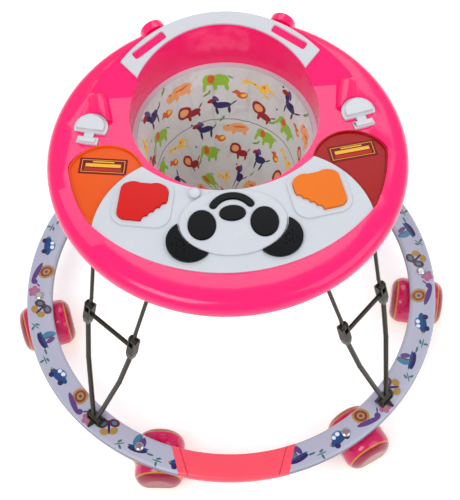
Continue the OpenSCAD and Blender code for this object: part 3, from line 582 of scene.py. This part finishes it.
for face in cloth.faces:
    face.smooth = True
    turns = [math.atan2(loop.vert.co.x, loop.vert.co.y - seat_middle) for loop in face.loops]
    if max(turns) - min(turns) > math.pi:
        turns = [turn + 2 * math.pi if turn < 0 else turn for turn in turns]
    for loop, turn in zip(face.loops, turns):
        loop[cut].uv = (turn * cut_radius, -length_down[loop.vert])
bmesh.ops.recalc_face_normals(cloth, faces=cloth.faces[:])
for face in cloth.faces:
    face.normal_flip()

lime, leaf_green, orange_ink = srgb(140, 192, 56), srgb(104, 152, 58), srgb(208, 96, 40)
maroon, peach, yellow_ink = srgb(146, 30, 34), srgb(232, 165, 108), srgb(240, 200, 70)
elephant = [
    (0, 0, 10, 7.2, 0, lime), (-10, 4, 6, 6, 0, lime), (-15.5, -2, 1.8, 6.5, -18, lime),
    (-5, -8, 2.3, 4.5, 0, lime), (6, -8, 2.3, 4.5, 0, lime), (-7.5, 3.5, 4, 5, 10, orange_ink),
    (11, 3, 3.4, 0.8, -40, leaf_green)]
pony = [
    (0, 0, 9, 4.4, 0, navy_ink), (-8, 4.5, 2.8, 6, 35, navy_ink), (-12, 8, 4.4, 2.8, 20, maroon),
    (-6, -7, 1.5, 5.4, 4, navy_ink), (6, -7, 1.5, 5.4, -4, navy_ink), (11.5, 3, 4.6, 0.9, 42, navy_ink),
    (-6, 9, 2.4, 5, 40, violet_ink)]
lion = [
    (9, -4, 9, 4.8, 0, maroon), (3, -9, 1.7, 4, 0, maroon), (14, -9, 1.7, 4, 0, maroon),
    (0, 3, 8.2, 8.2, 0, maroon), (0, 3, 5, 5, 0, peach), (19, 1, 4, 0.9, 50, maroon)]
giraffe = [
    (0, -3, 7, 4.4, 0, yellow_ink), (-6, 6, 1.9, 9, 14, yellow_ink), (-9.5, 14, 3.8, 2.2, 10, yellow_ink),
    (-4, -10, 1.2, 5, 0, yellow_ink), (4, -10, 1.2, 5, 0, yellow_ink), (1, -2, 1.6, 1.3, 0, orange_ink),
    (-6, 5, 0.9, 1.2, 0, orange_ink)]
hippo = [
    (0, 0, 12, 6.4, 0, peach), (-12, -1, 6, 5, 0, peach), (-6, -6.5, 2.4, 3, 0, peach),
    (7, -6.5, 2.4, 3, 0, peach), (1, 1, 7.5, 1.1, 6, orange_ink), (-12, 2.5, 0.9, 0.9, 0, navy_ink)]
chick = [
    (0, 0, 5.2, 4.4, 0, orange_ink), (-5, 3.6, 3, 3, 0, orange_ink), (-8.4, 3.2, 1.6, 0.8, 0, maroon),
    (1.4, 0.4, 3, 2, 20, yellow_ink)]
seed = [(0, 0, 1.2, 1.2, 0, navy_ink)]
leaf = [(0, 0, 4, 1.3, 30, leaf_green), (3, 3, 2.6, 1, 80, leaf_green)]

cotton = moulded("printed_cotton", srgb(206, 213, 212), rough=0.85, grain=0.25, grain_scale=1500)
cotton_tree, cotton_shader, cotton_ground, _ = print_surface(cotton)
cut_place = cotton_tree.nodes.new("ShaderNodeUVMap")
cut_place.uv_map = "cut"
cut_round, cut_up = split(cotton_tree, cut_place.outputs["UV"])
row_height, row_width, row_shift = 0.088, 2 * math.pi * cut_radius / 3, 0.083
row = number(cotton_tree, "FLOOR", number(cotton_tree, "DIVIDE", cut_up, row_height))
along_cloth = number(cotton_tree, "WRAP", cut_up, row_height, 0.0)
along_cloth = number(cotton_tree, "SUBTRACT", along_cloth, row_height / 2)
shifted = number(cotton_tree, "MULTIPLY_ADD", row, row_shift, cut_round)
across_cloth = number(cotton_tree, "WRAP", shifted, row_width / 2, -row_width / 2)
cotton_colour = print_figures(cotton, across_cloth, along_cloth, cotton_ground, [
    (-84, 22, 8, elephant), (-26, 22, 55, giraffe), (26, 22, -4, pony), (82, 23, 4, hippo),
    (-80, -22, 6, pony), (-27, -21, -8, lion), (30, -22, -10, elephant), (80, -22, 10, lion),
    (-53, -1, 0, chick), (54, 1, 10, chick), (2, -2, 30, seed), (4, 40, 60, seed), (-104, 2, 0, leaf),
    (56, 38, 20, leaf), (-2, -34, 0, leaf)], 1.42)
off_seam = number(cotton_tree, "ABSOLUTE", number(cotton_tree, "ADD", cut_up, seam_drop))
at_seam = number(cotton_tree, "LESS_THAN", off_seam, seam_half)
cotton_colour = ink_over(cotton_tree, cotton_colour, at_seam, srgb(120, 118, 122))
cotton_tree.links.new(cotton_colour, cotton_shader.inputs["Base Color"])
threads = cotton_tree.nodes.new("ShaderNodeTexWave")
threads.inputs["Scale"].default_value = 420
threads.inputs["Distortion"].default_value = 0.6
cotton_tree.links.new(cut_place.outputs["UV"], threads.inputs["Vector"])
weave = cotton_tree.nodes.new("ShaderNodeBump")
weave.inputs["Strength"].default_value = 0.12
weave.inputs["Distance"].default_value = 0.0004
cotton_tree.links.new(threads.outputs["Fac"], weave.inputs["Height"])
pores_bump = cotton_shader.inputs["Normal"].links[0].from_node
cotton_tree.links.new(pores_bump.outputs["Normal"], weave.inputs["Normal"])
rumple = cotton_tree.nodes.new("ShaderNodeTexNoise")
rumple.inputs["Scale"].default_value = 15
rumple.inputs["Detail"].default_value = 2
rumple.inputs["Distortion"].default_value = 1.2
cotton_tree.links.new(cut_place.outputs["UV"], rumple.inputs["Vector"])
slack = cotton_tree.nodes.new("ShaderNodeBump")
slack.inputs["Strength"].default_value = 0.55
slack.inputs["Distance"].default_value = 0.012
cotton_tree.links.new(rumple.outputs["Fac"], slack.inputs["Height"])
cotton_tree.links.new(weave.outputs["Normal"], slack.inputs["Normal"])
cotton_tree.links.new(slack.outputs["Normal"], cotton_shader.inputs["Normal"])
cotton_shader.inputs["Sheen Weight"].default_value = 0.15

seat_cloth = put("printed_seat", cloth, cotton)
seat_cloth.vertex_groups.new(name="hoop")
settling_frames = 21
furthest_slip = 0.008
before = [vert.co.copy() for vert in seat_cloth.data.vertices]
hang = seat_cloth.modifiers.new("hang", "CLOTH")
hang.settings.quality = 6
hang.settings.mass = 0.25
hang.settings.tension_stiffness = 25
hang.settings.compression_stiffness = 25
hang.settings.shear_stiffness = 12
hang.settings.bending_stiffness = 0.6
hang.settings.shrink_min = -0.055
hang.settings.vertex_group_mass = "hoop"
hang.settings.effector_weights.gravity = 0.35
for frame_number in range(1, settling_frames + 1):
    bpy.context.scene.frame_set(frame_number)
hung = seat_cloth.evaluated_get(bpy.context.evaluated_depsgraph_get())
after = [vert.co.copy() for vert in hung.data.vertices]
seat_cloth.modifiers.remove(hang)
bpy.context.scene.frame_set(1)
for vert, start, end in zip(seat_cloth.data.vertices, before, after):
    slip = end - start
    slip.length = min(slip.length, furthest_slip)
    vert.co = start + slip
thick = seat_cloth.modifiers.new("cloth_thickness", "SOLIDIFY")
thick.thickness = 0.0011
thick.offset = 0
round_over = seat_cloth.modifiers.new("round_over", "SUBSURF")
round_over.levels = round_over.render_levels = 1
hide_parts("seat_fabric")
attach(seat_cloth, "tray")
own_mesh(seat_cloth)
